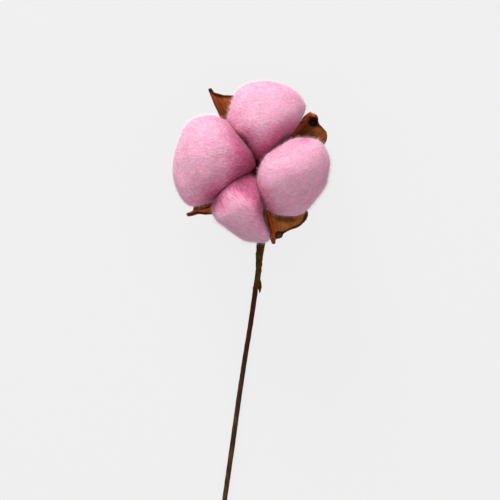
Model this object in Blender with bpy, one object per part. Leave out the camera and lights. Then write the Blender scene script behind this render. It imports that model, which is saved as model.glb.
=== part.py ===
"""A ripe cotton boll on its cut stalk, lying on a surface with its open face up.

The burr is the dry fruit wall: four woody valves joined at the receptacle. Four locks of cotton fill
the gaps between the valves. A small dry calyx sits under the receptacle, and the peduncle turns from
it to lie along -Y, where a slimmer stem carries on to the cut end.
"""

import math

import bmesh
import bpy
import numpy as np
from mathutils import Quaternion, Vector, noise
from mathutils.bvhtree import BVHTree

# Driving dimensions, in millimetres. Every position is measured on the surface from a corner of the
# top lock's flat spot, and the finished objects are moved so that REST_SPOT is the origin.
MM = 0.001
REST_SPOT = Vector((2.8, 0.6, 0.0))  # the middle of the flat spot that the top lock rests on
RECEPTACLE = Vector((-2.1, -27.3, 7.2))  # where the valves, the locks and the stalk meet
BOLL_AXIS = Vector((-0.18, 0.42, 0.89)).normalized()  # from the receptacle to the open face
HEART = RECEPTACLE + 19.0 * BOLL_AXIS  # the middle of the boll, which every valve faces
RECEPTACLE_RADIUS = 4.8
GAP = 0.35  # clear space between neighbouring pieces

# Each lock: its middle, its half sizes along its own axis, across it and out of it, and its turn
# about that axis in degrees.
LOCKS = {
    "lock_top": (Vector((0.4, -4.9, 15.1)), (17.2, 15.3, 18.0), -6.0),
    "lock_left": (Vector((-18.1, -16.7, 20.5)), (15.0, 18.8, 15.1), 0.0),
    "lock_bottom": (Vector((-5.6, -32.7, 22.5)), (15.7, 15.6, 13.0), 0.0),
    "lock_right": (Vector((8.4, -22.7, 28.0)), (16.8, 13.9, 14.6), 20.0),
}
# Where a lock is pressed flatter: the direction from its middle and the distance.
PRESSED = {
    "lock_top": (),
    "lock_left": (
        (Vector((-0.62, -0.78, 0.0)), 18.3),
        (Vector((0.45, -0.89, 0.0)), 11.5),
        (Vector((0.59, 0.81, 0.0)), 13.1),
    ),
    "lock_bottom": ((Vector((-0.7, -0.7, 0.0)), 12.2), (Vector((0.975, 0.22, 0.0)), 3.6)),
    "lock_right": (
        (Vector((0.98, -0.2, 0.0)), 12.6),
        (Vector((0.8, -0.6, 0.0)), 11.8),
        (Vector((-0.98, 0.2, 0.0)), 11.7),
    ),
}
LOCK_DETAIL = 4  # icosphere subdivisions
LOCK_LUMP = 0.06  # height of the soft lumps in the cotton, as a share of its size
LOCK_LUMP_SIZE = 9.0  # their width
LOCK_SEAM = 0.03  # how much nearer to its own lock than to the next one a point must be
LOCK_STEEPNESS = 1.5  # the most that a lock's radius grows per millimetre along it

# Each valve: how far the locks that its septum holds apart stay from the septum's middle plane, its
# midline from the receptacle to the tip, then for the clockwise and the counterclockwise half, seen
# from above, its width, how far it folds back in degrees, the places along the midline where its
# shoulder starts and where it has narrowed to the beak, and how far its margin sweeps forward.
VALVES = {
    "upper_left": (
        {},
        ((-7.5, -16.5, 2.1), (-15.4, -1.5, 2.5), (-21.2, 9.9, 8.3)),
        ((12.5, -8.0, (0.77, 0.95), 0.0), (8.5, 10.0, (0.46, 0.64), 0.0)),
    ),
    "upper_right": (
        {"lock_right": 0.4, "lock_top": -1.7},
        ((1.5, -19.5, 9.5), (6.9, -10.6, 14.0), (12.3, -2.7, 16.8), (15.6, 0.0, 18.0)),
        ((14.0, -4.0, (0.7, 1.08), 5.0), (7.0, 25.0, (0.66, 0.84), 0.0)),
    ),
    "lower_right": (
        {"lock_right": 0.4},
        ((-1.5, -31.0, 12.5), (0.0, -37.5, 19.0), (2.4, -46.5, 26.0)),
        ((7.0, 20.0, (0.52, 0.7), 0.0), (15.0, 0.0, (0.76, 0.94), 0.0)),
    ),
    "lower_left": (
        {},
        ((-11.0, -30.5, 6.5), (-21.0, -33.6, 9.5), (-28.6, -36.2, 15.0)),
        ((9.0, 0.0, (0.66, 0.84), 0.0), (7.0, 20.0, (0.48, 0.66), 0.0)),
    ),
}
VALVE_ROOT = 3.0  # how far from the receptacle's middle a valve starts
VALVE_ROWS = 20
VALVE_THICKNESS = (1.35, 0.8)  # by the midline, at the margin
VALVE_CUP = (-14.0, 40.0)  # slope of a half by the midline and at the margin, in degrees
VALVE_WIDEST = 0.5  # place of the widest row along the midline
VALVE_ROOT_WIDTH = 0.36  # width at the receptacle, of the widest
BEAK_WIDTH = (1.3, 0.5)  # half width of the beak past the shoulders, at its root and its tip
SEPTUM_HEIGHT = 3.0  # of the ridge along the inside of a valve, at its highest
SEPTUM_HALF_WIDTH = (1.1, 0.8)  # at its foot, at its crest
HALF_STEPS = (0.0, 0.16, 0.34, 0.52, 0.7, 0.86, 1.0)  # points across half a valve
ROLLED = {  # where the wall has rolled up on itself as it dried: the middle of the roll, its radii
    "rolled_tip": (Vector((16.6, -1.6, 17.6)), Vector((1.5, 1.7, 1.3))),
    "rolled_margin": (Vector((4.2, -43.6, 24.2)), Vector((1.5, 1.5, 1.3))),
}

# The stalk: midline points with the radius there. Y falls towards the cut end.
PEDUNCLE_PATH = (
    (Vector((-1.2, -29.5, 2.7)), 1.65),
    (Vector((-1.2, -31.2, 1.95)), 1.75),
    (Vector((-1.5, -35.0, 1.63)), 1.6),
    (Vector((-2.1, -42.0, 1.6)), 1.55),
    (Vector((-2.47, -47.0, 1.6)), 1.47),
    (Vector((-3.0, -50.6, 1.6)), 1.33),
    (Vector((-3.27, -54.3, 1.6)), 1.2),
    (Vector((-3.55, -58.0, 1.55)), 1.08),
    (Vector((-4.42, -63.1, 1.5)), 1.02),
)
STEM_PATH = (
    (Vector((-4.48, -63.45, 1.5)), 0.97),
    (Vector((-6.35, -76.3, 1.4)), 0.94),
    (Vector((-8.45, -89.1, 1.3)), 0.92),
    (Vector((-10.65, -103.8, 1.2)), 0.95),
    (Vector((-13.2, -122.1, 1.1)), 0.97),
    (Vector((-15.8, -140.4, 1.05)), 0.93),
    (Vector((-19.2, -166.0, 0.95)), 0.95),
)
STALK_SIDES = 12
PEDUNCLE_ROWS = 30
STEM_ROWS = 34
LEAF_SCARS = ((0.52, 200.0, 0.28), (0.62, 150.0, 0.22), (0.36, 20.0, 0.25))  # place, side, height
FLAKE_ROOT = Vector((-3.0, -59.4, 1.9))  # a torn strip of bark beside the peduncle's end
FLAKE_TIP = Vector((-3.12, -65.0, 1.7))
FLAKE_SIZE = (1.1, 0.7)  # height, thickness
FLAKE_BULGE = 0.5  # how far it stands away from the stalk

CALYX_RADIUS = 5.4
CALYX_RISE = 1.5  # from the middle of the cup to its rim
CALYX_WALL = 0.8
CALYX_DROP = 5.15  # from the receptacle's middle to the underside of the cup
CALYX_HOLE = 3.0  # where the peduncle comes through
CALYX_LOBES = 5
CALYX_SIDES = 40

COTTON = (0.86, 0.40, 0.55, 1.0)
BURR_BROWN = (0.20, 0.065, 0.018, 1.0)
CALYX_BROWN = (0.10, 0.065, 0.03, 1.0)
PEDUNCLE_OLIVE = (0.055, 0.032, 0.009, 1.0)
STEM_BROWN = (0.045, 0.020, 0.012, 1.0)


def clear_scene():
    """Remove every object that the file opened with."""
    for obj in list(bpy.data.objects):
        bpy.data.objects.remove(obj)


def make_material(name, colour, roughness):
    """A plain matte material: nothing on a dry plant is metallic."""
    material = bpy.data.materials.new(name)
    material.use_nodes = True
    shader = material.node_tree.nodes["Principled BSDF"]
    shader.inputs["Base Color"].default_value = colour
    shader.inputs["Roughness"].default_value = roughness
    shader.inputs["Metallic"].default_value = 0.0
    return material


def add_object(name, bm, material):
    """Turn a bmesh in millimetres into an object in metres, with the rest spot at the origin."""
    bmesh.ops.translate(bm, vec=-REST_SPOT, verts=bm.verts)
    bmesh.ops.scale(bm, vec=(MM, MM, MM), verts=bm.verts)
    bmesh.ops.recalc_face_normals(bm, faces=bm.faces)
    mesh = bpy.data.meshes.new(name)
    bm.to_mesh(mesh)
    bm.free()
    mesh.materials.append(material)
    mesh.shade_smooth()
    mesh.set_sharp_from_angle(angle=math.radians(50.0))
    obj = bpy.data.objects.new(name, mesh)
    bpy.context.scene.collection.objects.link(obj)
    return obj


def join_into(body, others):
    """Fuse other objects into this one with one Boolean union, and remove them."""
    group = bpy.data.collections.new(body.name + "_parts")
    bpy.context.scene.collection.children.link(group)
    for other in others:
        bpy.context.scene.collection.objects.unlink(other)
        group.objects.link(other)
    union = body.modifiers.new("union", "BOOLEAN")
    union.operation = "UNION"
    union.operand_type = "COLLECTION"
    union.collection = group
    union.solver = "MANIFOLD"
    graph = bpy.context.evaluated_depsgraph_get()
    joined = bpy.data.meshes.new_from_object(body.evaluated_get(graph))
    body.modifiers.clear()
    body.data = joined
    for other in others:
        bpy.data.objects.remove(other)
    bpy.data.collections.remove(group)


def smooth_path(points, count):
    """Points evenly spaced along a Catmull-Rom curve through the given rows of numbers."""
    given = np.array(points, float)
    first = 2.0 * given[0] - given[1]
    last = 2.0 * given[-1] - given[-2]
    padded = np.vstack([first, given, last])
    fine = []
    for i in range(1, len(padded) - 2):
        before, start, end, after = padded[i - 1 : i + 3]
        for u in np.linspace(0.0, 1.0, 24, endpoint=False):
            fine.append(
                0.5
                * (
                    2.0 * start
                    + (end - before) * u
                    + (2.0 * before - 5.0 * start + 4.0 * end - after) * u**2
                    + (3.0 * start - before - 3.0 * end + after) * u**3
                )
            )
    fine.append(given[-1])
    fine = np.array(fine)
    steps = np.linalg.norm(np.diff(fine[:, :3], axis=0), axis=1)
    along = np.concatenate([[0.0], np.cumsum(steps)])
    wanted = np.linspace(0.0, along[-1], count)
    return np.stack([np.interp(wanted, along, column) for column in fine.T], axis=1)


def smoothstep(value):
    """0 below 0, 1 above 1, with an even S between."""
    value = min(max(value, 0.0), 1.0)
    return value * value * (3.0 - 2.0 * value)


def loft(bm, rings, same_both_faces=0):
    """Join closed rings of points and cap both ends.

    Where same_both_faces is set, the ring's points up to that index are one face of a blade and the
    rest its other face, and both are split along the same diagonals.
    """
    rows = [[bm.verts.new(point) for point in ring] for ring in rings]
    for lower, upper in zip(rows, rows[1:]):
        count = len(lower)
        for j in range(count):
            k = (j + 1) % count
            if same_both_faces and j >= same_both_faces:
                bm.faces.new((lower[j], lower[k], upper[j]))
                bm.faces.new((lower[k], upper[k], upper[j]))
            else:
                bm.faces.new((lower[j], lower[k], upper[k]))
                bm.faces.new((lower[j], upper[k], upper[j]))
    bm.faces.new(reversed(rows[0]))
    bm.faces.new(rows[-1])


def half_width(place, widest, shoulder):
    """Width of one half at a place along the midline: it widens, has a square shoulder, then a beak."""
    root = VALVE_ROOT_WIDTH + (1.0 - VALVE_ROOT_WIDTH) * smoothstep(place / VALVE_WIDEST)
    start, end = shoulder
    kept = 1.0 - smoothstep((place - start) / (end - start))
    beak = BEAK_WIDTH[0] + (BEAK_WIDTH[1] - BEAK_WIDTH[0]) * place**3
    return beak + max(widest * root - beak, 0.0) * kept


def half_outline(width, fold):
    """(sideways, inward, slope) across one half: an arc that dips, then rises to the margin."""
    start = math.radians(VALVE_CUP[0] - fold)
    end = math.radians(VALVE_CUP[1] - fold)
    side, inward = 0.0, 0.0
    points = [(0.0, 0.0, 0.0)]
    for before, after in zip(HALF_STEPS, HALF_STEPS[1:]):
        slope = start + (end - start) * 0.5 * (before + after)
        side += width * (after - before) * math.cos(slope)
        inward += width * (after - before) * math.sin(slope)
        points.append((side, inward, start + (end - start) * after))
    return points


def half_section(place, half, sign):
    """The inner and the outer face of one half, from the middle to the margin."""
    widest, fold, shoulder, sweep = half
    width = half_width(place, widest, shoulder)
    taper = min(1.0, (1.0 - place) * 5.0 + 0.35)
    foot = min(SEPTUM_HALF_WIDTH[0] * taper, 0.35 * width)
    ridge = SEPTUM_HEIGHT * (0.25 + 0.75 * math.sin(math.pi * min(place * 0.85 + 0.12, 1.0)))
    inner = [(sign * foot * SEPTUM_HALF_WIDTH[1] / SEPTUM_HALF_WIDTH[0], ridge * taper, 0.0)]
    outer = []
    for share, (side, inward, slope) in zip(HALF_STEPS, half_outline(width, fold)):
        forward = sweep * share**2 * width / widest
        inner.append((sign * (side + foot * (1.0 - share)), inward, forward))
        thickness = VALVE_THICKNESS[0] + (VALVE_THICKNESS[1] - VALVE_THICKNESS[0]) * share
        thickness *= 0.55 + 0.45 * taper
        back = (side + thickness * math.sin(slope), inward - thickness * math.cos(slope))
        outer.append((sign * back[0], back[1], forward))
    return inner, outer


def valve_section(place, halves):
    """One section of a valve, as (sideways, inward, along): its inner face, then its outer face.

    The inner face runs from the counterclockwise margin over the septum to the clockwise margin, and
    the outer face runs back again.
    """
    inner_clockwise, outer_clockwise = half_section(place, halves[0], 1.0)
    inner_counter, outer_counter = half_section(place, halves[1], -1.0)
    return inner_counter[::-1] + inner_clockwise, outer_clockwise[::-1] + outer_counter[1:]


def valve_frames(midline):
    """At each midline point: the point, and the directions sideways, inward and along there."""
    points = smooth_path([tuple(root_of(midline))] + [tuple(p) for p in midline], VALVE_ROWS)
    tangents = np.gradient(points, axis=0)
    frames = []
    for point, tangent in zip(points, tangents):
        along = Vector(tangent).normalized()
        inward = HEART - Vector(point)
        inward -= inward.dot(along) * along
        inward.normalize()
        frames.append((Vector(point), along.cross(inward), inward, along))
    return frames


def root_of(midline):
    """Where a valve leaves the receptacle's middle, towards the first point of its midline."""
    return RECEPTACLE + VALVE_ROOT * (Vector(midline[0]) - RECEPTACLE).normalized()


def make_valve(name, valve, material):
    """One woody valve: two cupped halves that meet at the septum, pointed at the tip."""
    _, midline, halves = valve
    rings = []
    for row, (point, sideways, inward, along) in enumerate(valve_frames(midline)):
        inner, outer = valve_section(row / (VALVE_ROWS - 1), halves)
        rings.append([point + a * sideways + b * inward + c * along for a, b, c in inner + outer])
    bm = bmesh.new()
    loft(bm, rings, same_both_faces=len(inner))
    return add_object(name, bm, material)


def make_ball(name, middle, radii, material, detail):
    """An ellipsoid whose first two radii lie across the boll's axis."""
    bm = bmesh.new()
    bmesh.ops.create_icosphere(bm, subdivisions=detail, radius=1.0)
    turn = BOLL_AXIS.to_track_quat("Z", "Y")
    for vert in bm.verts:
        vert.co = middle + turn @ Vector([c * r for c, r in zip(vert.co, radii)])
    return add_object(name, bm, material)


def make_burr(material):
    """The four valves and the receptacle, which grew as one piece."""
    radii = (RECEPTACLE_RADIUS, RECEPTACLE_RADIUS, 0.86 * RECEPTACLE_RADIUS)
    burr = make_ball("burr", RECEPTACLE, radii, material, 3)
    others = [make_valve(name, valve, material) for name, valve in VALVES.items()]
    others += [make_ball(name, *roll, material, 2) for name, roll in ROLLED.items()]
    join_into(burr, others)
    for vert in burr.data.vertices:
        vert.co.z = max(vert.co.z, 0.0)
    burr.data.shade_smooth()
    burr.data.set_sharp_from_angle(angle=math.radians(50.0))
    return burr


def lock_axes(name):
    """A lock's own axes: across, out and along, where along runs from the receptacle."""
    middle, _, turn = LOCKS[name]
    along = (middle - RECEPTACLE).normalized()
    across = along.cross(Vector((0.0, 0.0, 1.0))).normalized()
    across = Quaternion(along, math.radians(turn)) @ across
    return across, along.cross(across), along


def lock_measure(name, points):
    """0 at the middle of a lock and 1 on its plain ellipsoid, for an array of points."""
    middle, (length, width, depth), _ = LOCKS[name]
    axes = np.array([tuple(axis) for axis in lock_axes(name)])
    return np.linalg.norm((points - np.array(middle)) @ axes.T / (width, depth, length), axis=-1)


def lump(direction, name):
    """Soft lumps of the cotton over the seeds inside it, as a share of its size."""
    offset = Vector((17.0 * sorted(LOCKS).index(name), 3.0, 5.0))
    return LOCK_LUMP * noise.noise(direction * 15.0 / LOCK_LUMP_SIZE + offset)


def flat_sides(name):
    """Planes that a lock stays behind, as (point, direction): beside a septum, and where it is pressed."""
    middle = LOCKS[name][0]
    planes = [(middle + distance * direction, direction) for direction, distance in PRESSED[name]]
    for held_apart, midline, _ in VALVES.values():
        if name in held_apart:
            point, sideways, _, _ = valve_frames(midline)[VALVE_ROWS // 2]
            away = sideways if (middle - point).dot(sideways) < 0.0 else -sideways
            planes.append((point - held_apart[name] * away, away))
    return planes


def first_reach(name, directions):
    """How far each direction runs before it leaves the lock, or nears another lock or a septum."""
    middle = np.array(LOCKS[name][0])
    distances = np.arange(2.0, 21.0, 0.1)
    points = middle + directions[:, None, :] * distances[None, :, None]
    own = lock_measure(name, points)
    swell = np.array([1.0 + lump(Vector(d), name) for d in directions])
    free = own <= swell[:, None]
    for other in LOCKS:
        if other != name:
            nearer = lock_measure(other, points) - own < LOCK_SEAM
            for point, away in flat_sides(other):
                nearer &= (points - np.array(point)) @ np.array(away) <= GAP
            free &= ~nearer
    for point, away in flat_sides(name):
        free &= (points - np.array(point)) @ np.array(away) <= 0.0
    reach = np.where(free.all(axis=1), len(distances) - 1, free.argmin(axis=1))
    return distances[reach]


def ease(reach, limit, links, lengths, rounds):
    """Even out the reach of neighbouring directions without passing the limit."""
    counts = np.bincount(links[:, 0], minlength=len(reach))
    for _ in range(rounds):
        total = np.bincount(links[:, 0], weights=reach[links[:, 1]], minlength=len(reach))
        reach = np.minimum(0.5 * reach + 0.5 * total / counts, limit)
        allowed = reach[links[:, 1]] + LOCK_STEEPNESS * lengths
        np.minimum.at(reach, links[:, 0], allowed)
    return reach


def keep_clear(bm, middle, directions, reach, tree):
    """Draw a lock in wherever it comes nearer than the gap to the burr."""
    faces = [[vert.index for vert in face.verts] for face in bm.faces]
    for _ in range(60):
        places = middle + directions * reach[:, None]
        near = set()
        for face in faces:
            corners = places[face]
            samples = list(corners) + [corners.mean(axis=0)]
            samples += [(corners[i] + corners[i - 1]) / 2.0 for i in range(3)]
            for sample in samples:
                if tree.find_nearest(Vector(sample), GAP + 0.1)[0] is not None:
                    near.update(face)
                    break
        if not near:
            return reach
        reach[sorted(near)] -= 0.25
    return reach


def make_lock(name, tree, material):
    """One lock of cotton, grown out from its middle until it meets the burr or another lock."""
    middle = LOCKS[name][0]
    bm = bmesh.new()
    bmesh.ops.create_icosphere(bm, subdivisions=LOCK_DETAIL, radius=1.0)
    bm.verts.index_update()
    directions = np.array([tuple(vert.co) for vert in bm.verts])
    pairs = np.array([[vert.index for vert in edge.verts] for edge in bm.edges])
    links = np.vstack([pairs, pairs[:, ::-1]])
    limit = first_reach(name, directions)
    for i, direction in enumerate(directions):
        hit = tree.ray_cast(middle, Vector(direction), float(limit[i]) + 1.0)
        if hit[0] is not None:
            limit[i] = min(limit[i], hit[3] - 2.0 * GAP)
    lengths = np.linalg.norm(directions[links[:, 0]] - directions[links[:, 1]], axis=1) * 14.0
    reach = ease(limit.copy(), limit, links, lengths, 3)
    reach = keep_clear(bm, np.array(middle), directions, reach, tree)
    for vert, direction, distance in zip(bm.verts, directions, reach):
        vert.co = middle + Vector(direction) * distance
        vert.co.z = max(vert.co.z, 0.0)
    return add_object(name, bm, material)


def tube_rings(path, rows, sides, bumps=()):
    """Rings round a path of (point, radius), with low bumps at (place, side in degrees, height)."""
    samples = smooth_path([(*point, radius) for point, radius in path], rows)
    tangents = np.gradient(samples[:, :3], axis=0)
    rings = []
    for row, (sample, tangent) in enumerate(zip(samples, tangents)):
        along = Vector(tangent).normalized()
        across = Vector((0.0, 0.0, 1.0)).cross(along).normalized()
        up = along.cross(across)
        ring = []
        for side in range(sides):
            angle = 2.0 * math.pi * side / sides
            radius = float(sample[3])
            for place, where, height in bumps:
                turned = math.cos(angle - math.radians(where))
                near = math.exp(-(((row / (rows - 1) - place) / 0.035) ** 2))
                radius += height * near * max(turned, 0.0)
            offset = math.cos(angle) * across + math.sin(angle) * up
            ring.append(Vector(sample[:3]) + radius * offset)
        rings.append(ring)
    return rings


def make_peduncle(material):
    """The boll's own stalk, with old scars along it and a torn strip of bark at its end."""
    bm = bmesh.new()
    loft(bm, tube_rings(PEDUNCLE_PATH, PEDUNCLE_ROWS, STALK_SIDES, LEAF_SCARS))
    peduncle = add_object("peduncle", bm, material)
    height, thickness = FLAKE_SIZE
    rings = []
    for place in np.linspace(0.0, 1.0, 8):
        middle = FLAKE_ROOT.lerp(FLAKE_TIP, place)
        middle.x += FLAKE_BULGE * math.sin(math.pi * place)
        size = 0.35 + 0.65 * math.sin(math.pi * min(0.25 + 0.75 * place, 0.96))
        wide = Vector((0.5 * thickness * size, 0.0, 0.0))
        high = Vector((0.0, 0.0, 0.5 * height * size))
        rings.append([middle + wide, middle + high, middle - wide, middle - high])
    bm = bmesh.new()
    loft(bm, rings)
    join_into(peduncle, [add_object("flake", bm, material)])
    return peduncle


def make_stem(material):
    """The slim lower stem, cut square at its end."""
    bm = bmesh.new()
    loft(bm, tube_rings(STEM_PATH, STEM_ROWS, STALK_SIDES))
    return add_object("stem", bm, material)


def make_calyx(material):
    """A shallow dry cup with short blunt lobes, open where the peduncle comes through."""
    turn = BOLL_AXIS.to_track_quat("Z", "Y")
    middle = RECEPTACLE - CALYX_DROP * BOLL_AXIS
    columns = []
    for side in range(CALYX_SIDES):
        angle = 2.0 * math.pi * side / CALYX_SIDES
        lobe = 0.5 + 0.5 * math.cos(CALYX_LOBES * angle)
        rim = CALYX_RADIUS * (0.84 + 0.16 * lobe)
        rise = CALYX_RISE * (0.75 + 0.35 * lobe)
        column = []
        for share, lift in ((0.0, 0.0), (0.5, 0.0), (1.0, 0.0), (1.0, 1.0), (0.5, 1.0), (0.0, 1.0)):
            radius = CALYX_HOLE + (rim - CALYX_HOLE) * share
            height = rise * share**2 + CALYX_WALL * lift
            place = Vector((radius * math.cos(angle), radius * math.sin(angle), height))
            column.append(middle + turn @ place)
        columns.append(column)
    bm = bmesh.new()
    rows = [[bm.verts.new(point) for point in column] for column in columns]
    for i, row in enumerate(rows):
        following = rows[(i + 1) % len(rows)]
        for j in range(len(row)):
            k = (j + 1) % len(row)
            bm.faces.new((row[j], following[j], following[k], row[k]))
    return add_object("calyx", bm, material)


def build():
    clear_scene()
    cotton = make_material("cotton", COTTON, 0.95)
    burr = make_burr(make_material("burr", BURR_BROWN, 0.5))
    make_calyx(make_material("calyx", CALYX_BROWN, 0.8))
    make_peduncle(make_material("peduncle", PEDUNCLE_OLIVE, 0.7))
    make_stem(make_material("stem", STEM_BROWN, 0.6))
    points = [vert.co / MM + REST_SPOT for vert in burr.data.vertices]
    tree = BVHTree.FromPolygons(points, [tuple(face.vertices) for face in burr.data.polygons])
    for name in LOCKS:
        make_lock(name, tree, cotton)


build()
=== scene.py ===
"""A ripe cotton boll, dyed pink, lying face up on its cut stalk, photographed from above."""

import bmesh
import bpy
import numpy as np
from mathutils import Matrix, Vector, kdtree, noise
from mathutils.bvhtree import BVHTree


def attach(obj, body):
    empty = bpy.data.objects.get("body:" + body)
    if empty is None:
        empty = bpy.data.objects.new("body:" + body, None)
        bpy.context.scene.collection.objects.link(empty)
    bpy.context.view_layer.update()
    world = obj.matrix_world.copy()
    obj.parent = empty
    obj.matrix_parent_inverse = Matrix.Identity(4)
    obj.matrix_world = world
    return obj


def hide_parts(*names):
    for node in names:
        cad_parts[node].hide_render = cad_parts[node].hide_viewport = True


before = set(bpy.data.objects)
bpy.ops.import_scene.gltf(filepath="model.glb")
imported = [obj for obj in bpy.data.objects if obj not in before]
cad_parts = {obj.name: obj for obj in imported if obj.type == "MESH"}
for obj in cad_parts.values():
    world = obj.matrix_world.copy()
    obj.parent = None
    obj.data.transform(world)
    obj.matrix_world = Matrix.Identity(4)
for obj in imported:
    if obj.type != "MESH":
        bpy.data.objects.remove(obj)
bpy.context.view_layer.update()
mm = 0.001

# The burr: the fruit wall, four woody valves that grew on one receptacle and have dried hard and
# slightly wavy. Each valve is golden inside, red-brown along the two lips of its old septum, and
# dark where its thin margin has dried out.
EVENING = 0.6  # how far a round of evening draws a point towards its neighbours


def copy_of_solid(node, name, spacing, grown_on=()):
    """A closed copy of a solid with evenly spaced points, with any rounded lumps grown on.

    Each lump has its centre and half sizes, in millimetres, and the axis of its third half size.
    """
    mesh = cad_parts[node].data.copy()
    mesh.materials.clear()
    bm = bmesh.new()
    bm.from_mesh(mesh)
    bmesh.ops.remove_doubles(bm, verts=bm.verts, dist=1e-6)
    for centre, half_sizes, axis in grown_on:
        placed = Matrix.Translation(Vector(centre) * mm)
        turned = Vector((0.0, 0.0, 1.0)).rotation_difference(Vector(axis)).to_matrix().to_4x4()
        sized = Matrix.Diagonal((*(Vector(half_sizes) * mm), 1.0))
        bmesh.ops.create_icosphere(bm, subdivisions=3, radius=1.0, matrix=placed @ turned @ sized)
    bm.to_mesh(mesh)
    bm.free()
    piece = bpy.data.objects.new(name, mesh)
    bpy.context.scene.collection.objects.link(piece)
    remesh = piece.modifiers.new("remesh", "REMESH")
    remesh.mode = "VOXEL"
    remesh.voxel_size = spacing
    apply_modifiers(piece)
    return piece


def apply_modifiers(piece):
    graph = bpy.context.evaluated_depsgraph_get()
    piece.data = bpy.data.meshes.new_from_object(piece.evaluated_get(graph))
    piece.modifiers.clear()
    piece.data.shade_smooth()


def points_of(mesh):
    flat = np.empty(len(mesh.vertices) * 3)
    mesh.vertices.foreach_get("co", flat)
    return flat.reshape(-1, 3)


def normals_of(mesh):
    flat = np.empty(len(mesh.vertices) * 3)
    mesh.vertex_normals.foreach_get("vector", flat)
    return flat.reshape(-1, 3)


def set_points(mesh, points):
    mesh.vertices.foreach_set("co", points.astype(np.float32).ravel())
    mesh.update()


def evened(mesh, values, rounds):
    """Each point's value, drawn towards those of its neighbours a number of times."""
    ends = np.empty(len(mesh.edges) * 2, np.int64)
    mesh.edges.foreach_get("vertices", ends)
    ends = ends.reshape(-1, 2)
    links = np.vstack([ends, ends[:, ::-1]])
    counts = np.bincount(links[:, 0], minlength=len(values)).astype(float)
    values = values.reshape(len(values), -1).copy()
    for _ in range(rounds):
        for column in range(values.shape[1]):
            total = np.bincount(links[:, 0], values[links[:, 1], column], len(values))
            values[:, column] = (1.0 - EVENING) * values[:, column] + EVENING * total / counts
    return values


def pushed(points, pushes):
    """Points drawn along by soft pushes. Each has its place on the plan, its reach and its way."""
    moved = points.copy()
    for place, reach, way in pushes:
        apart = np.linalg.norm(points[:, :2] / mm - place, axis=1)
        moved += np.exp(-((apart / reach) ** 2))[:, None] * np.array(way) * mm
    return moved


def gap_to(surfaces, points):
    """How far each point is from the nearest of some meshes, in millimetres."""
    trees = []
    for mesh in surfaces:
        mesh.calc_loop_triangles()
        corners = [tuple(triangle.vertices) for triangle in mesh.loop_triangles]
        trees.append(BVHTree.FromPolygons([tuple(vert.co) for vert in mesh.vertices], corners))
    return np.array([min(tree.find_nearest(point)[3] for tree in trees) for point in points]) / mm


def waves(points, size, seed):
    """Soft noise between about -1 and 1, with bumps this far apart, for an array of points."""
    offset = Vector((7.3, 3.1, 5.7)) * seed
    return np.array([noise.noise(Vector(point) / size + offset) for point in points])


def remember(mesh, name, values):
    """Keep one number a point on the mesh, for its material to read."""
    attribute = mesh.attributes.new(name, "FLOAT", "POINT")
    attribute.data.foreach_set("value", np.asarray(values, np.float32).ravel())


class Finish:
    """A material's nodes, with short calls for those that the boll's finishes use."""

    def __init__(self, name, roughness):
        self.material = bpy.data.materials.new(name)
        self.material.use_nodes = True
        self.tree = self.material.node_tree
        self.shader = self.tree.nodes["Principled BSDF"]
        self.shader.inputs["Roughness"].default_value = roughness
        self.place = self.tree.nodes.new("ShaderNodeTexCoord").outputs["Object"]

    def stretched(self, x, y, z, vector=None):
        mapping = self.tree.nodes.new("ShaderNodeMapping")
        mapping.inputs["Scale"].default_value = (x, y, z)
        self.tree.links.new(vector or self.place, mapping.inputs["Vector"])
        return mapping.outputs["Vector"]

    def along(self, axis, vector=None):
        node = self.tree.nodes.new("ShaderNodeSeparateXYZ")
        self.tree.links.new(vector or self.place, node.inputs["Vector"])
        return node.outputs[axis]

    def kept(self, name, output="Fac"):
        """What the mesh keeps at each point under this name."""
        attribute = self.tree.nodes.new("ShaderNodeAttribute")
        attribute.attribute_name = name
        return attribute.outputs[output]

    def grain(self, size, vector=None, detail=3.0, rough=0.55, low=0.3, high=0.7, twist=0.0):
        """Noise with features of this size in metres, spread over 0 to 1."""
        node = self.tree.nodes.new("ShaderNodeTexNoise")
        node.inputs["Scale"].default_value = 1.0 / size
        node.inputs["Detail"].default_value = detail
        node.inputs["Roughness"].default_value = rough
        node.inputs["Distortion"].default_value = twist
        self.tree.links.new(vector or self.place, node.inputs["Vector"])
        return self.spread(node.outputs["Fac"], low, high)

    def spread(self, value, low, high, to_low=0.0, to_high=1.0):
        node = self.tree.nodes.new("ShaderNodeMapRange")
        node.interpolation_type = "SMOOTHSTEP"
        limits = {"From Min": low, "From Max": high, "To Min": to_low, "To Max": to_high}
        for socket, limit in limits.items():
            node.inputs[socket].default_value = limit
        self.tree.links.new(value, node.inputs["Value"])
        return node.outputs["Result"]

    def reckoned(self, operation, first, second=0.0):
        """Numbers, or sockets that carry them, added, multiplied or the like."""
        node = self.tree.nodes.new("ShaderNodeMath")
        node.operation = operation
        for socket, value in zip(node.inputs, (first, second)):
            if isinstance(value, float):
                socket.default_value = value
            else:
                self.tree.links.new(value, socket)
        return node.outputs["Value"]

    def times(self, first, second):
        return self.reckoned("MULTIPLY", first, second)

    def mixed(self, share, first, second):
        """Colour first where share is 0, second where it is 1."""
        node = self.tree.nodes.new("ShaderNodeMix")
        node.data_type = "RGBA"
        self.tree.links.new(share, node.inputs["Factor"])
        for place, colour in ((6, first), (7, second)):  # the node's two colour sockets
            if isinstance(colour, tuple):
                node.inputs[place].default_value = (*colour, 1.0)
            else:
                self.tree.links.new(colour, node.inputs[place])
        return node.outputs[2]

    def coloured(self, colour):
        self.tree.links.new(colour, self.shader.inputs["Base Color"])

    def raised(self, height, distance, strength=1.0):
        node = self.tree.nodes.new("ShaderNodeBump")
        node.inputs["Distance"].default_value = distance
        node.inputs["Strength"].default_value = strength
        self.tree.links.new(height, node.inputs["Height"])
        self.tree.links.new(node.outputs["Normal"], self.shader.inputs["Normal"])


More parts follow.
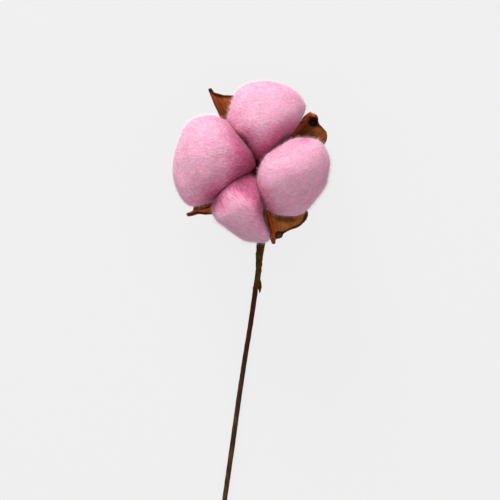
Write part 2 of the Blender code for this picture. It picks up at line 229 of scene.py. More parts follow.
def seen_as(red, green, blue):
    """A colour as a screen shows it, from 0 to 255, as the amounts of light that a shader takes."""
    light = []
    for level in (red, green, blue):
        share = level / 255.0
        light.append(share / 12.92 if level < 10 else ((share + 0.055) / 1.055) ** 2.4)
    return tuple(light)


VALVE_LINES = {  # the septum of each valve, from the receptacle to the tip
    "upper_left": ((-10.3, -17.1, 2.1), (-18.2, -2.1, 2.5), (-24.0, 9.3, 8.3)),
    "upper_right": ((-1.3, -20.1, 9.5), (4.1, -11.2, 14.0), (9.5, -3.3, 16.8), (12.8, -0.6, 18.0)),
    "lower_right": ((-4.3, -31.6, 12.5), (-2.8, -38.1, 19.0), (-0.4, -47.1, 26.0)),
    "lower_left": ((-13.8, -31.1, 6.5), (-23.8, -34.2, 9.5), (-31.4, -36.8, 15.0)),
}
VALVE_AGE = (0.0, 1.0, 0.0, 0.8)  # how far each valve has browned inside, in the same order
LIP_SHADE = (0.85, 0.6, 0.0, 0.4)  # and how far the lips of its septum have darkened
VALVE_PUSHES = (  # where drying has drawn the wood along: place on the plan, reach, way
    ((-4.0, -34.0), 3.5, (0.0, 0.0, 4.0)),
    ((2.5, -12.5), 4.5, (0.0, 0.0, 5.0)),
    ((-28.7, -33.8), 2.5, (-1.3, -0.3, 0.0)),
    ((-27.6, -36.3), 2.0, (0.0, 0.5, 0.0)),
    ((-24.5, -35.8), 2.5, (0.0, -0.7, 0.0)),
    ((-31.6, -36.9), 2.0, (-0.5, 0.2, 0.0)),
    ((5.1, -42.0), 4.0, (-0.2, 0.3, 0.0)),
    ((8.4, -39.6), 3.8, (0.0, -1.1, 0.0)),
    ((17.0, -7.0), 3.5, (1.0, 0.4, 0.0)),
    ((12.8, -0.5), 3.0, (0.0, 0.6, 0.0)),
    ((-0.8, -46.5), 4.0, (-0.5, 0.2, 0.0)),
)
DRIED_MARGINS_AND_SHADOW = (  # dark edges, stains and one painted shadow of the valves on the plan, how wide each is and how dark
    (((-24.4, 9.3), (-22.4, 8.3), (-20.3, 7.2), (-17.7, 7.2), (-14.2, 7.4)), 1.2, 0.9),
    (((11.4, -35.1), (9.7, -40.0), (5.3, -42.2), (2.4, -43.5)), 0.7, 0.9),
    # painted shadow: the band that the right lock casts across the lower right valve
    (((1.2, -38.0), (3.4, -38.6), (6.4, -38.5)), 1.0, 0.55),
    (((-0.9, -45.6), (-0.8, -47.6)), 0.8, 0.7),
    (((14.8, -4.2), (16.8, -5.1), (18.7, -7.2), (19.1, -8.6), (18.6, -11.0)), 0.6, 0.9),
    (((-31.9, -35.9), (-31.1, -36.7), (-28.7, -35.7), (-27.4, -36.0)), 0.5, 0.9),
    (((-27.4, -36.0), (-25.6, -36.4), (-23.1, -36.5)), 0.5, 0.9),
)
GROOVE_WIDTH, GROOVE_DEPTH = 0.32, 0.55  # of the split between a septum's two lips, in millimetres
CURL_HOLLOW = np.array((13.5, -3.2, 18.0))  # the upper right tip curls over a hollow, dented and in painted shade
CURL_SIZE, CURL_DEPTH = (1.5, 1.7), 2.0
DARK_ROLL, ROLL_SIZE = np.array((1.4, -44.2, 24.2)), 2.2  # margin rolled up by the lower right tip
RECEPTACLE = np.array((-4.9, -27.9, 7.2))  # where the four valves meet
HEART = np.array((-8.3, -19.9, 24.1))  # the middle of the cotton, which every valve faces
LINE_STEP = 0.5  # millimetres between the places where a septum's direction is taken
VALVE_LIFT = 40.0  # added to each next valve's heights, so that one number tells the valves apart
BROAD_RIPPLE, BROAD_SIZE = 0.14, 3.4  # the waves of the dried wood: height and spacing
FINE_RIPPLE, FINE_SHAPE = 0.06, (0.3, 1.6, 0.0)  # and its fine lines along each valve
THICKNESS_ROUNDS = 22  # rounds of evening that show where the wood is thin
WOOD_FACES_KEPT = 0.42  # once the wood is shaped, its flatter parts need fewer

burr = copy_of_solid("burr", "burr_valves", 0.23 * mm)
wood_points = points_of(burr.data)
wood_points = pushed(evened(burr.data, wood_points, 3), VALVE_PUSHES)
set_points(burr.data, wood_points)
wood_normals = normals_of(burr.data)

nearest = np.full(len(wood_points), 1e9)
run = np.zeros((len(wood_points), 3))
inner_side = np.zeros(len(wood_points))
towards_heart = np.zeros((len(wood_points), 3))
for place, line in enumerate(VALVE_LINES.values()):
    knots = np.vstack([RECEPTACLE, np.array(line)])
    steps = np.concatenate([[0.0], np.cumsum(np.linalg.norm(np.diff(knots, axis=0), axis=1))])
    wanted = np.arange(0.0, steps[-1], LINE_STEP)
    fine_line = np.stack([np.interp(wanted, steps, column) for column in knots.T], axis=1)
    for i, (start, end) in enumerate(zip(fine_line, fine_line[1:])):
        along = (end - start) / np.linalg.norm(end - start)
        inward = HEART - start
        inward -= inward.dot(along) * along
        inward /= np.linalg.norm(inward)
        across = np.cross(along, inward)
        offset = wood_points / mm - start
        gap = np.linalg.norm(offset, axis=1) + 2.0 * np.abs(offset @ along)
        closer = gap < nearest
        nearest[closer] = gap[closer]
        run[closer, 0] = wanted[i] + (offset @ along)[closer]
        run[closer, 1] = (offset @ across)[closer]
        run[closer, 2] = VALVE_LIFT * place + (offset @ inward)[closer]
        inner_side[closer] = (wood_normals @ inward)[closer]
        towards_heart[closer] = inward

thin = evened(burr.data, wood_points, THICKNESS_ROUNDS) - wood_points
thin = np.linalg.norm(thin, axis=1) / mm
ripple = BROAD_RIPPLE * waves(wood_points / mm, BROAD_SIZE, 1)
ripple += FINE_RIPPLE * waves(run * FINE_SHAPE, 1.0, 2)
wood_points += wood_normals * (ripple * mm)[:, None]
valve = np.round(run[:, 2] / VALVE_LIFT).astype(int)
above_face = run[:, 2] - VALVE_LIFT * valve
on_the_ridge = np.clip(above_face - 1.0, 0.0, 1.0)
groove = np.exp(-((run[:, 1] / GROOVE_WIDTH) ** 2)) * on_the_ridge
wood_points -= towards_heart * (GROOVE_DEPTH * groove * mm)[:, None]
from_hollow = np.linalg.norm((wood_points / mm - CURL_HOLLOW)[:, :2] / CURL_SIZE, axis=1)
upper_face = wood_points[:, 2] / mm > CURL_HOLLOW[2] - 1.2
hollow = np.clip(1.25 - 1.25 * from_hollow**2, 0.0, 1.0) * upper_face
wood_points[:, 2] -= CURL_DEPTH * hollow * mm
in_the_tip = wood_points[:, 2] / mm > CURL_HOLLOW[2] - 4.0
shade = np.clip(1.8 - from_hollow, 0.0, 1.0) * in_the_tip
from_roll = np.linalg.norm(wood_points / mm - DARK_ROLL, axis=1)
roll = np.clip((ROLL_SIZE - from_roll) / 0.5, 0.0, 1.0)
wood_points[:, 2] = np.maximum(wood_points[:, 2], 0.0)
set_points(burr.data, wood_points)
remember(burr.data, "inner_side", evened(burr.data, inner_side, 2))
remember(burr.data, "margin", evened(burr.data, thin, 2))
remember(burr.data, "groove", groove)
ends = np.array([tuple(link.vertices) for link in burr.data.edges])
meeting = np.zeros(len(valve))  # where the streaks of two valves would cross
meeting[ends[valve[ends[:, 0]] != valve[ends[:, 1]]].ravel()] = 1.0
remember(burr.data, "meeting", evened(burr.data, meeting, 2))
remember(burr.data, "aged", np.array(VALVE_AGE)[valve])
remember(burr.data, "lip_shade", np.array(LIP_SHADE)[valve])
# painted shade in the curled tip's hollow, and the dark rolled margin of the lower right tip
remember(burr.data, "hollow_shade_and_dark_roll", 0.9 * np.maximum(shade, roll))
plan = wood_points[:, :2] / mm
dried_and_shadow = np.zeros(len(plan))
for corners, width, strength in DRIED_MARGINS_AND_SHADOW:
    for start, end in zip(np.array(corners), np.array(corners)[1:]):
        way = end - start
        share = np.clip((plan - start) @ way / (way @ way), 0.0, 1.0)
        apart = np.linalg.norm(plan - start - share[:, None] * way, axis=1)
        dried_and_shadow = np.maximum(dried_and_shadow, strength * np.clip(1.6 - 1.2 * apart / width, 0.0, 1.0))
remember(burr.data, "dried_and_shadow", dried_and_shadow)
# painted shade: the wood is darkened where the cotton lies close over it
locks = [solid.data for node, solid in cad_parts.items() if node.startswith("lock_")]
shade_under_cotton = (2.4 - gap_to(locks, wood_points)) / 1.4  # full within 1 mm of the cotton
remember(burr.data, "shade_under_cotton", np.clip(shade_under_cotton, 0.0, 1.0))
run_attribute = burr.data.attributes.new("run", "FLOAT_VECTOR", "POINT")
run_attribute.data.foreach_set("vector", (run * mm).astype(np.float32).ravel())
fewer_faces = burr.modifiers.new("fewer_faces", "DECIMATE")
fewer_faces.ratio = WOOD_FACES_KEPT
apply_modifiers(burr)

wood = Finish("burr_wood", 0.5)
wood.shader.inputs["Specular IOR Level"].default_value = 0.08
run_place = wood.kept("run", "Vector")
streak_place = wood.stretched(0.22, 1.0, 0.3, run_place)
apart_from_meeting = wood.spread(wood.kept("meeting"), 0.1, 0.4, 1.0, 0.0)
streaks = wood.grain(0.55 * mm, streak_place, detail=4.0)
streaks = wood.times(streaks, apart_from_meeting)
broad = wood.grain(3.5 * mm, streak_place, detail=2.0)
broad = wood.times(broad, apart_from_meeting)
blotches = wood.grain(4.0 * mm, detail=2.0)
golden = wood.mixed(broad, seen_as(200, 126, 60), seen_as(230, 170, 94))
golden = wood.mixed(wood.times(streaks, 0.5), golden, seen_as(120, 58, 22))
aged = wood.mixed(streaks, seen_as(104, 54, 12), seen_as(78, 37, 9))
golden = wood.mixed(wood.kept("aged"), golden, aged)
# painted shade under the cotton, on the golden inner faces
golden = wood.mixed(wood.times(wood.kept("shade_under_cotton"), 0.45), golden, seen_as(70, 22, 8))
rind = wood.mixed(blotches, seen_as(84, 44, 22), seen_as(108, 64, 36))
rind = wood.mixed(wood.times(streaks, 0.6), rind, seen_as(54, 26, 14))
faces = wood.mixed(wood.spread(wood.kept("inner_side"), -0.15, 0.35), rind, golden)
beside_split = wood.reckoned("ABSOLUTE", wood.along("Y", run_place))
lips = wood.spread(beside_split, 0.9 * mm, 1.6 * mm, 1.0, 0.0)
lip_colour = wood.mixed(streaks, seen_as(214, 104, 42), seen_as(148, 60, 22))
lip_colour = wood.mixed(wood.kept("lip_shade"), lip_colour, seen_as(112, 42, 16))
# painted shade: the split between the lips is darkened as a crease
lip_colour = wood.mixed(wood.kept("groove"), lip_colour, seen_as(48, 14, 6))
lips = wood.times(lips, wood.spread(wood.kept("inner_side"), -0.45, -0.05, 0.0, 0.85))
lips = wood.times(lips, apart_from_meeting)
faces = wood.mixed(lips, faces, lip_colour)
# painted shade: the inner faces darken towards the receptacle, deep in the heart of the boll
heart_shade = wood.spread(wood.along("X", run_place), 4.5 * mm, 8.0 * mm, 0.8, 0.0)
heart_shade = wood.times(heart_shade, wood.spread(wood.kept("inner_side"), -0.1, 0.2))
faces = wood.mixed(heart_shade, faces, seen_as(46, 14, 10))
edge = wood.spread(wood.kept("margin"), 0.16, 0.38)
faces = wood.mixed(wood.times(edge, 0.6), faces, seen_as(60, 24, 10))
# dried margins and stains, with the painted shadow band under the right lock
faces = wood.mixed(wood.kept("dried_and_shadow"), faces, seen_as(38, 12, 6))
# near black: painted shade in the curled hollow, and the rolled margin's own dark colour
faces = wood.mixed(wood.kept("hollow_shade_and_dark_roll"), faces, seen_as(20, 7, 7))
wood.coloured(faces)
wood.raised(wood.reckoned("ADD", streaks, broad), 0.12 * mm, 0.8)
burr.data.materials.append(wood.material)
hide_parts("burr")
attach(burr, "root")

# The calyx: a shallow papery cup with blunt lobes, dried onto the underside of the receptacle.
# It is dull brown and finely wrinkled.
CUP_FLOOR = ((-4.1, -29.7, 3.4), (3.5, 3.5, 1.3), (-0.18, 0.42, 0.89))  # shuts it round the stalk
CUP_WRINKLE, CUP_WRINKLE_SIZE = 0.05, 0.9  # height and spacing

calyx = copy_of_solid("calyx", "calyx_cup", 0.22 * mm, [CUP_FLOOR])
cup_points = points_of(calyx.data)
wrinkles = CUP_WRINKLE * waves(cup_points / mm, CUP_WRINKLE_SIZE, 5)
cup_points += normals_of(calyx.data) * (wrinkles * mm)[:, None]
set_points(calyx.data, cup_points)

paper = Finish("calyx_paper", 0.85)
paper.coloured(paper.mixed(paper.grain(1.2 * mm), seen_as(74, 56, 34), seen_as(112, 88, 54)))
paper.raised(paper.grain(0.4 * mm), 0.1 * mm)
calyx.data.materials.append(paper.material)
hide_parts("calyx")
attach(calyx, "root")

# The peduncle: the boll's own stalk, under olive-brown bark with fine cracks and pale specks. It
# ends in a slanted tear with a loose strip of bark beside it.
TORN_STRIP = ((-5.75, -62.9, 1.75), (0.5, 2.5, 0.5), (0.0, 0.0, 1.0))  # the loose strip of bark
FURROW_HEIGHT, FURROW_SHAPE = 0.12, (2.2, 0.5, 2.2)  # drying furrows, longest along the stalk
SCAR_HEIGHT, SCAR_SIZE = 0.14, 1.3  # low knobs where bracts and leaves have dropped off

peduncle = copy_of_solid("peduncle", "peduncle_bark", 0.18 * mm, [TORN_STRIP])
bark_points = points_of(peduncle.data)
bark_points = evened(peduncle.data, bark_points, 2)
furrows = FURROW_HEIGHT * waves(bark_points / mm * FURROW_SHAPE, 1.0, 7)
furrows += SCAR_HEIGHT * waves(bark_points / mm, SCAR_SIZE, 8)
bark_points += normals_of(peduncle.data) * (furrows * mm)[:, None]
bark_points[:, 2] = np.maximum(bark_points[:, 2], 0.0)
set_points(peduncle.data, bark_points)

bark = Finish("peduncle_bark", 0.75)
bark.shader.inputs["Specular IOR Level"].default_value = 0.06
long_grain = bark.grain(0.5 * mm, bark.stretched(1.0, 0.25, 1.0), detail=4.0)
olive = bark.mixed(bark.grain(2.4 * mm), seen_as(56, 34, 4), seen_as(82, 56, 16))
olive = bark.mixed(bark.times(long_grain, 0.7), olive, seen_as(36, 20, 3))
specks = bark.grain(0.7 * mm, detail=1.0, low=0.66, high=0.74)
bark.coloured(bark.mixed(bark.times(specks, 0.5), olive, seen_as(110, 86, 50)))
bark.raised(bark.reckoned("ADD", long_grain, specks), 0.12 * mm)
peduncle.data.materials.append(bark.material)
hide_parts("peduncle")
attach(peduncle, "root")

# The stem: slimmer and darker than the peduncle, with smooth bark that goes from red-brown to a
# dull brown towards its end. It has lengthwise wrinkles from drying, and it was cut off square.
TUCKED_FROM, TUCKED_IN = -64.6, 1.3  # its top end reaches this much further, into the torn bark
STEM_WRINKLE, STEM_WRINKLE_SHAPE = 0.05, (2.4, 0.22, 2.4)  # longest along the stem
STEM_WAVE, STEM_WAVE_SIZE = 0.05, 2.2  # height and spacing of its slight unevenness

stem = copy_of_solid("stem", "stem_bark", 0.2 * mm)
rod_points = points_of(stem.data)
rod_points[rod_points[:, 1] > TUCKED_FROM * mm, 1] += TUCKED_IN * mm
wrinkles = STEM_WRINKLE * waves(rod_points / mm * STEM_WRINKLE_SHAPE, 1.0, 11)
wrinkles += STEM_WAVE * waves(rod_points / mm, STEM_WAVE_SIZE, 12)
rod_points += normals_of(stem.data) * (wrinkles * mm)[:, None]
rod_points[:, 2] = np.maximum(rod_points[:, 2], 0.0)
set_points(stem.data, rod_points)

skin = Finish("stem_bark", 0.7)
skin.shader.inputs["Specular IOR Level"].default_value = 0.05
lines = skin.grain(0.45 * mm, skin.stretched(1.0, 0.12, 1.0), detail=4.0)
red_brown = skin.mixed(skin.grain(6.0 * mm), seen_as(62, 22, 12), seen_as(74, 34, 18))
dull_brown = skin.mixed(skin.grain(6.0 * mm), seen_as(52, 34, 20), seen_as(76, 56, 36))
lower_down = skin.spread(skin.along("Y"), -100.0 * mm, -74.0 * mm, 1.0, 0.0)
brown = skin.mixed(lower_down, red_brown, dull_brown)
skin.coloured(skin.mixed(skin.times(lines, 0.7), brown, seen_as(32, 14, 8)))
skin.raised(lines, 0.08 * mm)
stem.data.materials.append(skin.material)
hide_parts("stem")
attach(stem, "root")

# The locks: four soft wads of cotton lint, dyed pink, each grown round its seeds. Every wad is
# packed fibre under a coat of loose short ones, which lie along the surface and stand out at its
# edges. The pink is painted deeper between the locks, as painted shade, and whiter where the
# cotton has fluffed out, as painted highlight.
COTTON_SPACING = 0.5 * mm
STRANDS_A_LOCK, FIBRES_A_STRAND = 10500, 4
FIBRES_A_LOCK = STRANDS_A_LOCK * FIBRES_A_STRAND
FIBRE_LENGTH = (1.4, 3.0)  # millimetres
FIBRE_RADIUS = (0.03, 0.056)
FIBRE_FLATNESS = 0.25  # a lint fibre is a flattened, twisted tube
STRAND_WIDTH, STRAND_REACH = 0.09, 0.6  # how far a strand's fibres spread across it and along it
STRAND_SWINGS = ((0.7, 11.0), (0.15, 3.0))  # how far its way wanders, in radians, and how quickly
STRAND_STRAY, FIBRE_STRAY = 0.25, 0.13  # how far a strand, and a fibre in it, strays from that way
COAT_HEIGHT = (0.02, 0.08)  # of a strand over the wad
STRAND_ROUNDING = 0.07  # how much a strand takes the light as one thread
DYE_STRAY, FIBRE_DYE_STRAY = 0.09, 0.07  # how unevenly strands, and their fibres, took the dye
STANDING_SHARE = 0.22  # of the fibres stand out of the wad, as a short fine fuzz
FUZZ_LIFT = (0.3, 1.2)  # how steeply that fuzz rises
FUZZ_LENGTH, FUZZ_RADIUS = 0.55, 0.45  # its size, as a share of a lying fibre's
FLOOR_CLEARANCE = 0.02  # the lint bends rather than pass through the surface it lies on
WAD_ROUNDNESS = 13.0  # the usual radius of a wad
WAD_EVENINGS = 14  # rounds of evening that turn a solid lock into a soft wad
WAD_LUMP, WAD_LUMP_SIZE = 0.3, 6.5  # height and spacing of its soft lumps
WAD_BUMP, WAD_BUMP_SIZE = 0.03, 1.8  # and of the small ones on them
COAT_ALLOWANCE = 0.28  # the wad is this much slimmer than the lock, to leave room for its coat
FIRST_SEED = 21
PALE_FROM_SEAM = (1.0, 11.0)  # distance from the next lock over which the painted shade between the locks fades
WAD_PUSHES = {  # how a wad bulges or gives way: place on the plan, reach, way
    "top": (((-12.5, 7.4), 5.5, (-1.0, 1.4, 0.0)), ((-13.2, -6.8), 4.5, (-0.9, -1.3, 0.0))),
    "left": (
        ((-31.8, -5.5), 7.0, (-1.5, 1.9, 0.0)),
        ((-26.0, -2.0), 5.0, (-0.2, 0.8, 0.0)),
        ((-30.7, -32.6), 4.5, (-0.5, -1.2, 0.0)),
        ((-10.4, -11.2), 4.5, (-1.1, -0.9, 0.0)),
        ((-14.0, -8.2), 4.5, (-0.9, -1.4, 0.0)),
    ),
    "bottom": (
        ((-3.8, -46.4), 3.5, (1.5, -0.2, 0.0)),
        ((-3.6, -37.0), 4.0, (-1.0, 0.0, 0.0)),
        ((-8.2, -47.2), 4.0, (0.0, 0.9, 0.0)),
        ((-20.0, -38.5), 4.5, (-1.0, -0.7, 0.0)),
        ((-10.4, -25.1), 5.0, (0.0, -0.2, -2.5)),
    ),
    "right": (((-0.4, -12.6), 6.0, (0.8, -1.7, 0.0)), ((15.3, -10.8), 5.0, (1.2, 1.0, 0.0))),
}
WAD_TUCKS = {"top": (((-0.3, -11.0), 4.5, (0.0, 0.0, 4.3)),)}  # how its underside lies on the wood
SHADE_AND_LIGHT_POOLS = (  # patches of painted shade and painted light: place on the plan, reach, change in paleness
    ((-12.9, -15.5), 4.5, -0.6),
    ((-10.4, -26.2), 4.5, -0.7),
    ((10.3, -10.1), 2.5, -0.7),
    ((-13.4, -3.0), 4.0, 0.4),
    ((-19.4, -33.2), 4.0, -0.3),
    ((-18.3, -24.2), 3.5, 0.3),
    ((-3.9, -24.2), 3.0, 0.3),
)
SEAM_GAP, SEAM_REACH = 0.25, 4.0  # wads this close swell until this much is left between them
RIDGE_CLEARANCE = 2.4  # they stay as they are against wood, and this close to a valve's ridge
LINT_WINDING = {  # the axis that the strands of a lock are wound about
    "top": (0.1, 1.0, 0.2),
    "left": (0.4, 1.0, 0.3),
    "bottom": (0.5, 1.0, 0.3),
    "right": (-0.5, 1.0, 0.4),
}

lint = Finish("cotton_lint", 0.75)
LINT_LOOK = {
    "Sheen Weight": 0.2,
    "Sheen Roughness": 0.5,
    "Sheen Tint": (1.0, 0.74, 0.85, 1.0),
    "Specular IOR Level": 0.2,
    "Subsurface Weight": 0.3,
    "Subsurface Radius": (1.0, 0.5, 0.65),
    "Subsurface Scale": 0.9 * mm,
}
for quality, amount in LINT_LOOK.items():
    lint.shader.inputs[quality].default_value = amount
tufts = lint.grain(5.0 * mm, detail=3.0)
wisps = lint.grain(0.6 * mm, detail=4.0, twist=0.8)
deep_pink = lint.mixed(tufts, seen_as(230, 98, 148), seen_as(238, 118, 164))
pale_pink = lint.mixed(tufts, seen_as(244, 170, 200), seen_as(252, 188, 214))
# painted shade: where the paleness is low, beside the next lock, the pink goes deepest
deep_pink = lint.mixed(lint.spread(lint.kept("pale"), 0.0, 0.3), seen_as(186, 68, 114), deep_pink)
pink = lint.mixed(lint.spread(lint.kept("pale"), 0.05, 0.95), deep_pink, pale_pink)
pink = lint.mixed(lint.times(wisps, 0.25), pink, seen_as(226, 122, 162))
# painted shade: the packed wad under the coat is darker, as the depth between the fibres
shaded_packed_pink = lint.mixed(lint.kept("pale"), seen_as(150, 44, 88), seen_as(196, 108, 142))
pink = lint.mixed(lint.times(lint.kept("packed"), 0.65), pink, shaded_packed_pink)
# painted highlight: the standing fuzz is whitened, less so in the painted shade by the seams
pink = lint.mixed(lint.times(lint.kept("fluff"), 0.7), pink, seen_as(255, 220, 235))
lint.coloured(pink)
lint.raised(wisps, 0.05 * mm)

needle = bmesh.new()  # a fibre's shape, pointed at its tip
bmesh.ops.create_cone(needle, cap_ends=True, segments=3, radius1=1.0, radius2=0.0, depth=1.0)
bmesh.ops.translate(needle, vec=(0.0, 0.0, 0.5), verts=needle.verts)
bmesh.ops.remove_doubles(needle, verts=needle.verts, dist=1e-4)
bmesh.ops.triangulate(needle, faces=needle.faces)
needle.verts.index_update()
needle_points = np.array([tuple(vert.co) for vert in needle.verts])
needle_faces = np.array([[vert.index for vert in face.verts] for face in needle.faces])
needle.free()


def unit(vectors):
    return vectors / np.maximum(np.linalg.norm(vectors, axis=1), 1e-9)[:, None]


def loose_fibres(name, wad, pale, winding, seed):
    """One mesh of slim closed fibres, in strands of a few, that lie over a wad of cotton."""
    dice = np.random.default_rng(seed)
    wad.data.calc_loop_triangles()
    corners = np.empty(len(wad.data.loop_triangles) * 3, np.int64)
    wad.data.loop_triangles.foreach_get("vertices", corners)
    corners = corners.reshape(-1, 3)
    points, normals = points_of(wad.data) / mm, normals_of(wad.data)
    a, b, c = (points[corners[:, i]] for i in range(3))
    areas = np.linalg.norm(np.cross(b - a, c - a), axis=1)
    chosen = dice.choice(len(corners), STRANDS_A_LOCK, p=areas / areas.sum())
    u, v = dice.random(STRANDS_A_LOCK), dice.random(STRANDS_A_LOCK)
    u, v = np.where(u + v > 1.0, 1.0 - u, u), np.where(u + v > 1.0, 1.0 - v, v)
    roots = a[chosen] + u[:, None] * (b - a)[chosen] + v[:, None] * (c - a)[chosen]
    turn = dice.normal(0.0, STRAND_STRAY, STRANDS_A_LOCK)
    for i, (swing, size) in enumerate(STRAND_SWINGS):
        turn += swing * waves(roots, size, seed + i)
    height = dice.uniform(*COAT_HEIGHT, STRANDS_A_LOCK)
    strand_pale = pale[corners[chosen, 0]] + dice.normal(0.0, DYE_STRAY, STRANDS_A_LOCK)
    out = unit(normals[corners[chosen]].mean(axis=1))
    strands = (roots, turn, height, strand_pale, out)
    roots, turn, height, strand_pale, out = (
        np.repeat(values, FIBRES_A_STRAND, axis=0) for values in strands
    )
    flow = unit(np.cross(out, np.array(winding)))
    turn += dice.normal(0.0, FIBRE_STRAY, FIBRES_A_LOCK)
    ahead = np.cos(turn)[:, None] * flow + np.sin(turn)[:, None] * np.cross(out, flow)
    side = np.cross(out, ahead)
    beside = dice.normal(0.0, STRAND_WIDTH, FIBRES_A_LOCK)[:, None]
    forward = dice.uniform(-STRAND_REACH, STRAND_REACH, FIBRES_A_LOCK)[:, None]
    length = dice.uniform(*FIBRE_LENGTH, FIBRES_A_LOCK)[:, None]
    radius = dice.uniform(*FIBRE_RADIUS, FIBRES_A_LOCK)[:, None]
    standing = dice.random(FIBRES_A_LOCK) < STANDING_SHARE
    lift = np.zeros((FIBRES_A_LOCK, 1))
    lift[standing] = dice.uniform(*FUZZ_LIFT, standing.sum())[:, None]
    length[standing] *= FUZZ_LENGTH
    radius[standing] *= FUZZ_RADIUS
    roots = roots + beside * side + forward * ahead
    cover = BVHTree.FromPolygons(points.tolist(), corners.tolist())

    def laid_on(places):
        found = [cover.find_nearest(place)[0::2] for place in places]
        faces = np.array([face for _, face in found])
        return np.array([spot for spot, _ in found]), unit(normals[corners[faces]].mean(axis=1))

    root_spots, root_out = laid_on(roots)
    tip_spots, tip_out = laid_on(roots + ahead * length)
    over_the_curve = length * length / (8.0 * WAD_ROUNDNESS)
    clear = height[:, None] + over_the_curve
    root_spots = root_spots + root_out * clear
    tip_spots = tip_spots + tip_out * (clear + lift * length)
    made = np.empty((FIBRES_A_LOCK, len(needle_points), 3))
    for i, (x, y, t) in enumerate(needle_points):
        thickness = radius * (x * side + FIBRE_FLATNESS * y * root_out)
        made[:, i] = root_spots + t * (tip_spots - root_spots) + thickness
    made[:, :, 2] = np.maximum(made[:, :, 2], FLOOR_CLEARANCE)
    firsts = np.arange(FIBRES_A_LOCK) * len(needle_points)
    faces = (needle_faces[None] + firsts[:, None, None]).reshape(-1, 3)
    mesh = bpy.data.meshes.new(name)
    mesh.vertices.add(FIBRES_A_LOCK * len(needle_points))
    mesh.loops.add(faces.size)
    mesh.polygons.add(len(faces))
    mesh.vertices.foreach_set("co", (made.reshape(-1, 3) * mm).astype(np.float32).ravel())
    mesh.loops.foreach_set("vertex_index", faces.astype(np.int32).ravel())
    mesh.polygons.foreach_set("loop_start", np.arange(0, faces.size, 3, dtype=np.int32))
    mesh.update(calc_edges=True)
    mesh.shade_smooth()
    tilt = STRAND_ROUNDING * side * beside / STRAND_WIDTH
    facing = np.array([root_out, tip_out])[needle_points[:, 2].round().astype(int)] + tilt
    mesh.normals_split_custom_set_from_vertices(unit(facing.transpose(1, 0, 2).reshape(-1, 3)))
    fibre_pale = strand_pale + dice.normal(0.0, FIBRE_DYE_STRAY, FIBRES_A_LOCK)
    remember(mesh, "pale", np.repeat(np.clip(fibre_pale, 0.0, 1.0), len(needle_points)))
    # the standing fuzz that takes the painted highlight
    fluff = standing * np.clip(2.0 * fibre_pale, 0.0, 1.0)
    remember(mesh, "fluff", np.repeat(fluff, len(needle_points)))
    fibres = bpy.data.objects.new(name, mesh)
    bpy.context.scene.collection.objects.link(fibres)
    return fibres


wads = {}
for seed, side_name in enumerate(LINT_WINDING, start=FIRST_SEED):
    wad = copy_of_solid("lock_" + side_name, "cotton_" + side_name, COTTON_SPACING)
    wad_points = evened(wad.data, points_of(wad.data), WAD_EVENINGS)
    set_points(wad.data, wad_points)
    lumps = WAD_LUMP * waves(wad_points / mm, WAD_LUMP_SIZE, seed)
    lumps += WAD_BUMP * waves(wad_points / mm, WAD_BUMP_SIZE, seed + 9)
    wad_points += normals_of(wad.data) * ((lumps - COAT_ALLOWANCE) * mm)[:, None]
    wad_points = pushed(wad_points, WAD_PUSHES[side_name])
    underside = np.clip(0.4 - 1.6 * normals_of(wad.data)[:, 2], 0.0, 1.0)
    tucked = pushed(wad_points, WAD_TUCKS.get(side_name, ()))
    wad_points += underside[:, None] * (tucked - wad_points)
    wad_points[:, 2] = np.maximum(wad_points[:, 2], 0.0)
    set_points(wad.data, wad_points)
    wads[side_name] = wad


def tree_of(points):
    tree = kdtree.KDTree(len(points))
    for i, point in enumerate(points):
        tree.insert(point, i)
    tree.balance()
    return tree


others = {}
for side_name in wads:
    beside = [points_of(wad.data) for name, wad in wads.items() if name != side_name]
    others[side_name] = tree_of(np.vstack(beside))
swollen = {}
for side_name, wad in wads.items():
    wad_points = points_of(wad.data)
    towards = np.array([others[side_name].find(point)[0] for point in wad_points]) - wad_points
    seam = np.linalg.norm(towards, axis=1) / mm
    free = np.clip((gap_to([burr.data], wad_points) - 0.1) / 0.4, 0.0, 1.0)
    for x, y, _ in VALVE_LINES["upper_right"][1:] + VALVE_LINES["lower_right"][1:]:
        from_ridge = np.linalg.norm(wad_points[:, :2] / mm - (x, y), axis=1)
        free *= np.clip((from_ridge - RIDGE_CLEARANCE) / 2.0, 0.0, 1.0)
    within_reach = np.clip((SEAM_REACH - seam) / 2.0, 0.0, 1.0)
    share = 0.5 * np.clip(1.0 - SEAM_GAP / seam, 0.0, 1.0) * within_reach * free
    swollen[side_name] = wad_points + evened(wad.data, share[:, None] * towards, 2)
for side_name, wad in wads.items():
    set_points(wad.data, swollen[side_name])

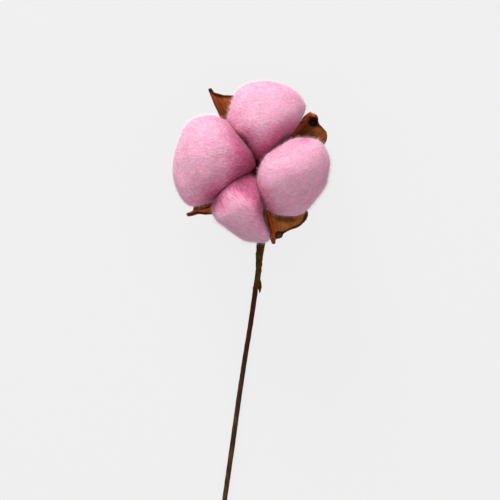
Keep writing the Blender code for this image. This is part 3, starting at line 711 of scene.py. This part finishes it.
for seed, (side_name, winding) in enumerate(LINT_WINDING.items(), start=FIRST_SEED):
    wad = wads[side_name]
    # painted shade: the pink deepens near the next lock, where the locks shade each other
    seam = np.array([others[side_name].find(point)[2] for point in points_of(wad.data)]) / mm
    near, far = PALE_FROM_SEAM
    pale = np.clip((seam - near) / (far - near), 0.0, 1.0)
    # patches of painted shade, and of painted light, on the cotton
    for place, reach, change in SHADE_AND_LIGHT_POOLS:
        apart = np.linalg.norm(points_of(wad.data)[:, :2] / mm - place, axis=1)
        pale += change * np.exp(-((apart / reach) ** 2))
    pale = evened(wad.data, np.clip(pale, 0.0, 1.0), 3)[:, 0]
    remember(wad.data, "pale", pale)
    remember(wad.data, "packed", np.ones(len(pale)))
    coat = loose_fibres("fibres_" + side_name, wad, pale, winding, seed)
    for piece in (wad, coat):
        piece.data.materials.append(lint.material)
        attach(piece, "root")
    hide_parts("lock_" + side_name)

# The stage: a plain pale floor under a large soft light from the upper left and an even pale
# surround, with the camera looking straight down on the boll.
floor_mesh = bpy.data.meshes.new("floor")
sheet = bmesh.new()
bmesh.ops.create_grid(sheet, x_segments=1, y_segments=1, size=2.0)
sheet.to_mesh(floor_mesh)
sheet.free()
floor = bpy.data.objects.new("floor", floor_mesh)
bpy.context.scene.collection.objects.link(floor)
pale_paint = Finish("pale_paint", 0.9)
pale_paint.shader.inputs["Base Color"].default_value = (0.03, 0.03, 0.03, 1.0)
pale_paint.shader.inputs["Emission Color"].default_value = (1.0, 1.0, 1.0, 1.0)
pale_paint.shader.inputs["Emission Strength"].default_value = 0.8
floor_mesh.materials.append(pale_paint.material)

world = bpy.data.worlds.new("surround")
world.use_nodes = True
world.node_tree.nodes["Background"].inputs["Color"].default_value = (1.0, 1.0, 1.0, 1.0)
world.node_tree.nodes["Background"].inputs["Strength"].default_value = 0.98
bpy.context.scene.world = world
bpy.context.scene.view_settings.view_transform = "Standard"

lamp = bpy.data.lights.new("softbox", "AREA")
lamp.size = 0.9
lamp.energy = 38.0
softbox = bpy.data.objects.new("softbox", lamp)
softbox.location = (-0.42, 1.36, 0.46)
aim = Vector((-0.009, -0.03, 0.0)) - softbox.location
softbox.rotation_mode = "QUATERNION"
softbox.rotation_quaternion = aim.to_track_quat("-Z", "Y")
bpy.context.scene.collection.objects.link(softbox)

lens = bpy.data.cameras.new("camera")
lens.sensor_width = 36.0
lens.lens = 200.0
lens.clip_start = 0.05
viewer = bpy.data.objects.new("camera", lens)
viewer.location = (-0.0093, -0.0494, 1.02)
bpy.context.scene.collection.objects.link(viewer)
bpy.context.scene.camera = viewer
